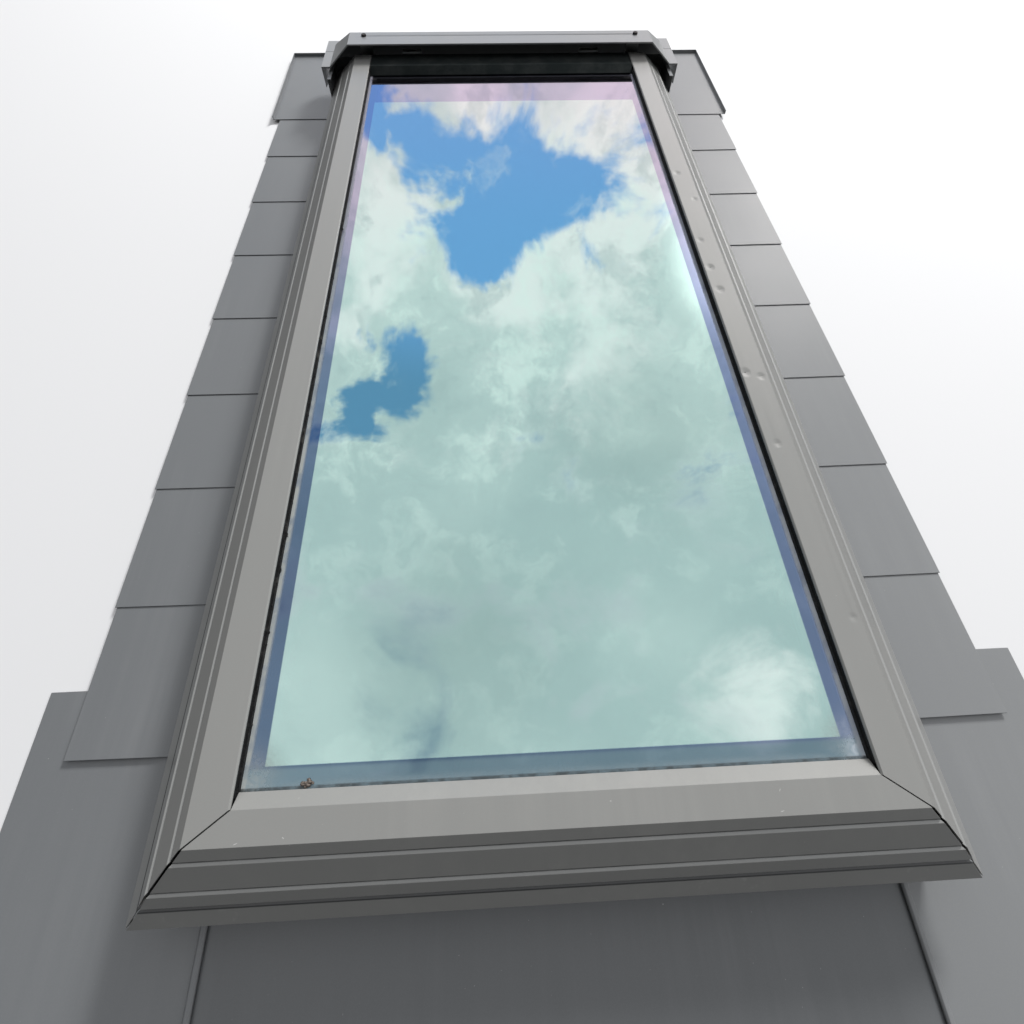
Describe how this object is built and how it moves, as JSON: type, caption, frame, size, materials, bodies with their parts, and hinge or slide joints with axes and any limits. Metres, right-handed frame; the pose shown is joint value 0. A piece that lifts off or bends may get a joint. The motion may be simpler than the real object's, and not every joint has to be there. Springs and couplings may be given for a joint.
{
  "type": "roof skylight",
  "caption": "Deck-mounted, top-hung venting roof skylight with double glazing, stepped metal cladding, a hipped hood, a chain operator and full step flashing.",
  "frame": {"origin": "middle of the wooden frame's base, on the roof deck's plane", "axes": "+X across the roof to the right, +Y up the roof slope, +Z out of the roof"},
  "size_m": [0.84, 1.496, 0.0983],
  "materials": {
    "pine": "clear lacquer",
    "cladding": "weathered grey paint on folded aluminium",
    "flashing": "weathered grey paint on thin aluminium",
    "pane_glass": "clear, with a coating",
    "spacer_metal": "mill",
    "black_rubber": "matt",
    "plated_steel": "zinc plated",
    "operator_plastic": "fine texture",
    "operator_metal": "satin paint"
  },
  "bodies": {
    "frame": {"frame_side_left": "pine", "frame_side_right": "pine", "frame_sill": "pine", "frame_head": "pine", "frame_cover_left": "cladding", "frame_cover_right": "cladding", "frame_cover_sill": "cladding", "hood": "cladding", "hood_rear_cover": "cladding", "sill_apron": "flashing", "sill_wing_left": "flashing", "sill_wing_right": "flashing", "head_flashing": "flashing", "step_flashing_left_1": "flashing", "step_flashing_left_2": "flashing", "step_flashing_left_3": "flashing", "step_flashing_left_4": "flashing", "step_flashing_left_5": "flashing", "step_flashing_left_6": "flashing", "step_flashing_left_7": "flashing", "step_flashing_left_8": "flashing", "step_flashing_right_1": "flashing", "step_flashing_right_2": "flashing", "step_flashing_right_3": "flashing", "step_flashing_right_4": "flashing", "step_flashing_right_5": "flashing", "step_flashing_right_6": "flashing", "step_flashing_right_7": "flashing", "step_flashing_right_8": "flashing", "frame_seal": "black_rubber", "hood_arm_left": "plated_steel", "hood_arm_right": "plated_steel", "hood_screws": "plated_steel", "deck_brackets": "plated_steel", "bracket_screws": "plated_steel", "hinge_screws": "plated_steel", "hinge_bracket_left": "plated_steel", "hinge_bracket_right": "plated_steel", "hinge_pins": "plated_steel", "operator_housing": "operator_plastic"},
    "sash": {"sash_side_left": "pine", "sash_side_right": "pine", "sash_sill": "pine", "sash_head": "pine", "sash_cover_left": "cladding", "sash_cover_right": "cladding", "sash_cover_sill": "cladding", "sash_cover_head": "cladding", "inner_pane": "pane_glass", "outer_pane": "pane_glass", "spacer_frame": "spacer_metal", "edge_seal": "black_rubber", "glazing_gasket": "black_rubber", "setting_blocks": "black_rubber", "hinge_leaf_left": "plated_steel", "hinge_leaf_right": "plated_steel", "leaf_screws": "plated_steel", "chain_keeper": "plated_steel", "chain_end_link": "plated_steel"},
    "crank": {"crank_eye": "operator_metal"}
  },
  "joints": [
    {"name": "sash_hinge", "type": "hinge", "parent": "frame", "child": "sash", "pos_m": [0, 0.571, 0.07], "axis": [-1, 0, 0], "range_deg": [0, 12]},
    {"name": "crank_turn", "type": "hinge", "parent": "frame", "child": "crank", "pos_m": [0, -0.522, 0.0135], "axis": [0, 1, 0], "continuous": true}
  ],
  "couplings": [
    {"joint": "crank_turn", "follows": "sash_hinge", "ratio": 840}
  ]
}
